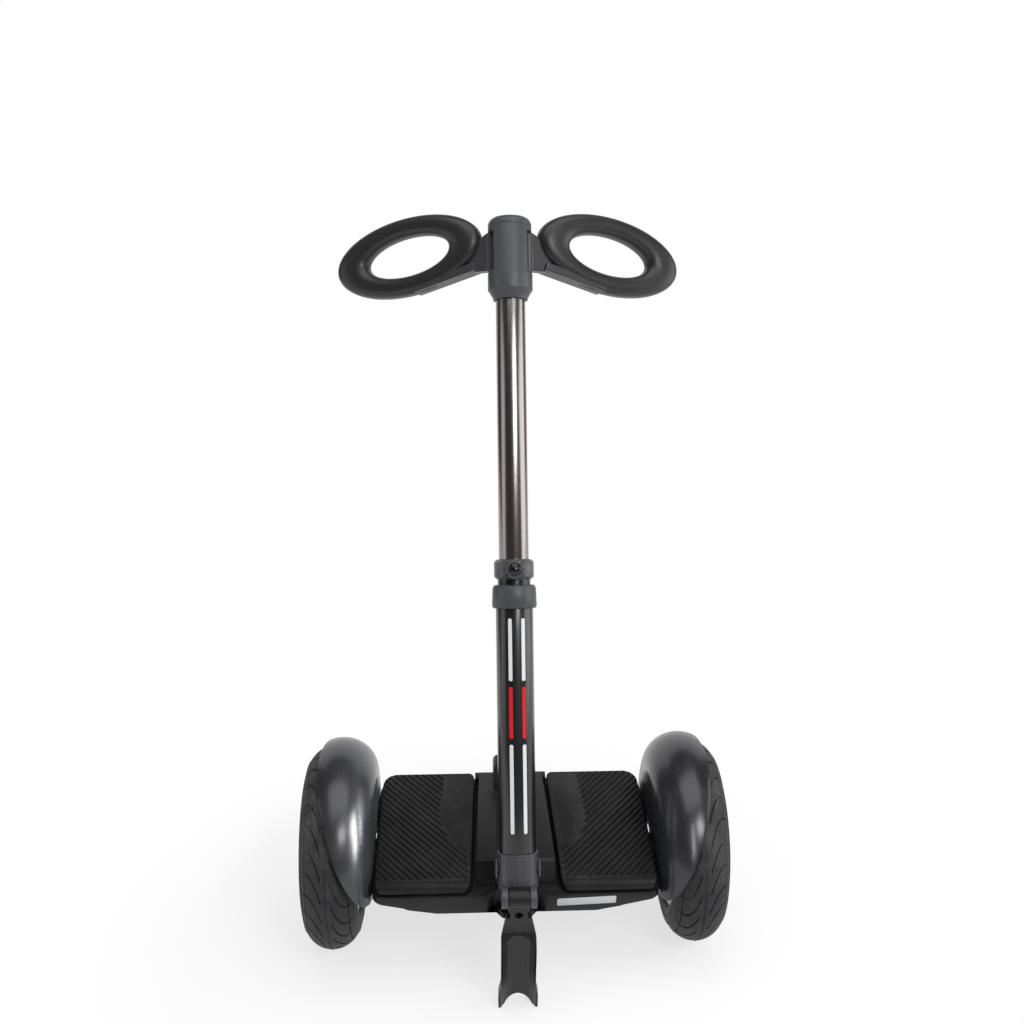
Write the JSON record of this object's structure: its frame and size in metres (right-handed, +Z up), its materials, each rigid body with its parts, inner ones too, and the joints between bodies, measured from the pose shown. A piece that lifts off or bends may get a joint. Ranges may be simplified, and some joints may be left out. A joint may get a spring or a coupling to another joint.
{
  "type": "self balancing personal transporter",
  "caption": "Stand-on transporter with a deck between two motor wheels, fenders, a telescopic steering stem with folding grip rings, and a folding prop stand",
  "frame": {"origin": "On the ground, under the middle of the whole transporter's box as it stands on its wheels and prop stand", "axes": "Z is up, -Y is the way it travels forward, and X runs along the axles with +X on the right as seen from the front"},
  "size_m": [0.5352, 0.3706, 0.9337],
  "materials": {
    "tyre_rubber": "matte",
    "pad_rubber": "matte",
    "grip_rubber": "matte",
    "bush_rubber": "matte",
    "fender_plastic": "satin",
    "shell_plastic": "satin",
    "hub_plastic": "satin",
    "button_plastic": "gloss",
    "battery_case": "matte",
    "circuit_board": "matte",
    "cast_grey": "satin",
    "tube_paint": "gloss",
    "anodised": "satin",
    "alloy": "satin",
    "steel": "satin",
    "winding": "satin",
    "magnet": "satin"
  },
  "bodies": {
    "deck": {"deck_shell_upper": "shell_plastic", "deck_shell_lower": "shell_plastic", "chassis_beam": "alloy", "battery_pack": "battery_case", "control_board": "circuit_board", "axle_clamp_left": "alloy", "axle_clamp_right": "alloy", "pad_sensor_left": "button_plastic", "pad_sensor_right": "button_plastic", "fender_left": "fender_plastic", "fender_right": "fender_plastic", "stator_left": "winding", "stator_right": "winding", "axle_left": "steel", "axle_right": "steel", "steering_bearing": "steel", "centring_bush": "bush_rubber", "charge_inlet": "button_plastic"},
    "wheel_left": {"tyre_left": "tyre_rubber", "wheel_rim_left": "alloy", "magnet_ring_left": "magnet", "motor_cover_left": "alloy"},
    "wheel_right": {"tyre_right": "tyre_rubber", "wheel_rim_right": "alloy", "magnet_ring_right": "magnet", "motor_cover_right": "alloy"},
    "pad_left": {"foot_pad_left": "pad_rubber"},
    "pad_right": {"foot_pad_right": "pad_rubber"},
    "power_key": {"power_button": "button_plastic"},
    "steering_stem": {"stem_socket": "cast_grey", "steering_spindle": "steel", "lower_tube": "tube_paint", "lower_collar": "cast_grey", "guide_sleeve": "button_plastic", "lock_collar": "cast_grey", "cross_bolt": "steel", "cross_bolt_cap_left": "hub_plastic", "cross_bolt_cap_right": "hub_plastic", "stand_pin": "steel"},
    "lock_key": {"lock_button": "hub_plastic"},
    "mast": {"upper_tube": "anodised", "tube_end_bush": "hub_plastic", "handle_hub": "hub_plastic", "hub_cap": "hub_plastic", "wing_pin_left": "steel", "wing_pin_right": "steel"},
    "wing_left": {"wing_frame_left": "hub_plastic", "grip_pad_left": "grip_rubber"},
    "wing_right": {"wing_frame_right": "hub_plastic", "grip_pad_right": "grip_rubber"},
    "stand": {"stand_leg": "cast_grey"}
  },
  "joints": [
    {"name": "wheel_left_spin", "type": "hinge", "parent": "deck", "child": "wheel_left", "pos_m": [-0.2336, 0.01306, 0.13], "axis": [1, 0, 0], "continuous": true},
    {"name": "wheel_right_spin", "type": "hinge", "parent": "deck", "child": "wheel_right", "pos_m": [0.2336, 0.01306, 0.13], "axis": [1, 0, 0], "continuous": true},
    {"name": "pad_left_press", "type": "slide", "parent": "deck", "child": "pad_left", "axis": [0, 0.1392, -0.9903], "range_m": [0, 0.002], "stiffness_N_per_m": 15000, "springref_m": -0.0006},
    {"name": "pad_right_press", "type": "slide", "parent": "deck", "child": "pad_right", "axis": [0, 0.1392, -0.9903], "range_m": [0, 0.002], "stiffness_N_per_m": 15000, "springref_m": -0.0006},
    {"name": "power_press", "type": "slide", "parent": "deck", "child": "power_key", "axis": [0, 0.1392, -0.9903], "range_m": [0, 0.0015], "stiffness_N_per_m": 800, "springref_m": -0.001},
    {"name": "stem_steer", "type": "hinge", "parent": "deck", "child": "steering_stem", "pos_m": [0, -0.11615, 0.15122], "axis": [0, -0.9903, -0.1392], "range_deg": [-20, 20], "stiffness_Nm_per_rad": 25},
    {"name": "lock_press", "type": "slide", "parent": "steering_stem", "child": "lock_key", "axis": [0, 0.9432, -0.3322], "range_m": [0, 0.003], "stiffness_N_per_m": 800, "springref_m": -0.001},
    {"name": "mast_slide", "type": "slide", "parent": "steering_stem", "child": "mast", "axis": [0, -0.3322, -0.9432], "range_m": [0, 0.24]},
    {"name": "wing_left_fold", "type": "hinge", "parent": "mast", "child": "wing_left", "pos_m": [-0.0225, 0.10248, 0.8644], "axis": [0, -0.3322, -0.9432], "range_deg": [0, 50]},
    {"name": "wing_right_fold", "type": "hinge", "parent": "mast", "child": "wing_right", "pos_m": [0.0225, 0.10248, 0.8644], "axis": [0, 0.3322, 0.9432], "range_deg": [0, 50]},
    {"name": "stand_fold", "type": "hinge", "parent": "steering_stem", "child": "stand", "pos_m": [0, -0.17327, 0.17166], "axis": [-1, 0, 0], "range_deg": [0, 213.5]}
  ]
}
